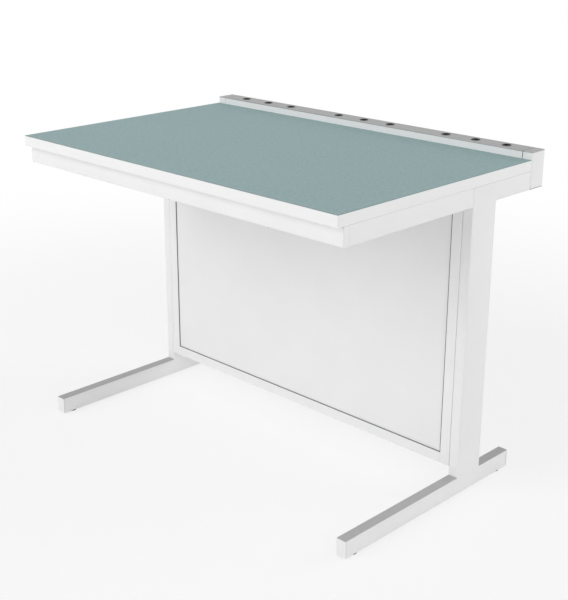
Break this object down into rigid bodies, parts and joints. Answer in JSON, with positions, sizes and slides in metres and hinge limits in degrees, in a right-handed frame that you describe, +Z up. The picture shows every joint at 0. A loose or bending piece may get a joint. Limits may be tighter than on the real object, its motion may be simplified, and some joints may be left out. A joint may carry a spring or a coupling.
{
  "type": "lab bench",
  "caption": "Lab bench with a laminate worktop on C-shaped steel leg frames, a modesty panel and a raised rear service duct whose lift-off cover has bushed outlets.",
  "frame": {"origin": "on the floor, under the middle of the overall box", "axes": "+X to the user's right along the bench, +Y from the user's side to the service duct, +Z up"},
  "size_m": [1.2, 0.81, 0.9045],
  "materials": {
    "worktop_laminate": "satin",
    "chipboard": "matte",
    "white_melamine": "satin",
    "melamine_board": "satin",
    "white_plastic": "satin",
    "powder_coat": "satin",
    "coated_aluminium": "satin",
    "anodised_aluminium": "satin",
    "grey_plastic": "matte",
    "black_plastic": "satin",
    "zinc_plated_steel": "satin"
  },
  "bodies": {
    "bench_frame": {"worktop_laminate": "worktop_laminate", "worktop_core": "chipboard", "worktop_backing": "white_melamine", "edge_band_front": "white_plastic", "edge_band_rear": "white_plastic", "edge_band_left": "white_plastic", "edge_band_right": "white_plastic", "front_rail": "powder_coat", "front_rail_cap_left": "white_plastic", "front_rail_cap_right": "white_plastic", "post_left": "powder_coat", "post_right": "powder_coat", "front_arm_left": "powder_coat", "front_arm_right": "powder_coat", "rear_arm_left": "powder_coat", "rear_arm_right": "powder_coat", "foot_beam_left": "powder_coat", "foot_beam_right": "powder_coat", "foot_cap_front_left": "white_plastic", "foot_cap_front_right": "white_plastic", "foot_cap_rear_left": "white_plastic", "foot_cap_rear_right": "white_plastic", "foot_tread_front_left": "grey_plastic", "foot_tread_front_right": "grey_plastic", "foot_tread_rear_left": "grey_plastic", "foot_tread_rear_right": "grey_plastic", "duct_stub_left": "powder_coat", "duct_stub_right": "powder_coat", "stub_cap_top_left": "grey_plastic", "stub_cap_top_right": "grey_plastic", "stub_cap_bottom_left": "grey_plastic", "stub_cap_bottom_right": "grey_plastic", "panel_stile_left": "coated_aluminium", "panel_stile_right": "coated_aluminium", "panel_rail_bottom": "coated_aluminium", "panel_rail_top": "coated_aluminium", "panel_infill": "melamine_board", "duct_trough": "powder_coat", "glide_nut_front_left": "zinc_plated_steel", "glide_nut_front_right": "zinc_plated_steel", "glide_nut_rear_left": "zinc_plated_steel", "glide_nut_rear_right": "zinc_plated_steel"},
    "duct_cover": {"duct_cover": "anodised_aluminium", "outlet_bush_1": "black_plastic", "outlet_bush_2": "black_plastic", "outlet_bush_3": "black_plastic", "outlet_bush_4": "black_plastic", "outlet_bush_5": "black_plastic", "outlet_bush_6": "black_plastic", "outlet_bush_7": "black_plastic", "outlet_bush_8": "black_plastic", "outlet_bush_9": "black_plastic"},
    "glide_front_left": {"glide_pad_front_left": "black_plastic", "glide_stem_front_left": "zinc_plated_steel"},
    "glide_front_right": {"glide_pad_front_right": "black_plastic", "glide_stem_front_right": "zinc_plated_steel"},
    "glide_rear_left": {"glide_pad_rear_left": "black_plastic", "glide_stem_rear_left": "zinc_plated_steel"},
    "glide_rear_right": {"glide_pad_rear_right": "black_plastic", "glide_stem_rear_right": "zinc_plated_steel"}
  },
  "joints": [
    {"name": "cover_lift", "type": "slide", "parent": "bench_frame", "child": "duct_cover", "axis": [0, 0, 1], "range_m": [0, 0.1]},
    {"name": "level_front_left", "type": "slide", "parent": "bench_frame", "child": "glide_front_left", "axis": [0, 0, -1], "range_m": [0, 0.015]},
    {"name": "level_front_right", "type": "slide", "parent": "bench_frame", "child": "glide_front_right", "axis": [0, 0, -1], "range_m": [0, 0.015]},
    {"name": "level_rear_left", "type": "slide", "parent": "bench_frame", "child": "glide_rear_left", "axis": [0, 0, -1], "range_m": [0, 0.015]},
    {"name": "level_rear_right", "type": "slide", "parent": "bench_frame", "child": "glide_rear_right", "axis": [0, 0, -1], "range_m": [0, 0.015]}
  ]
}
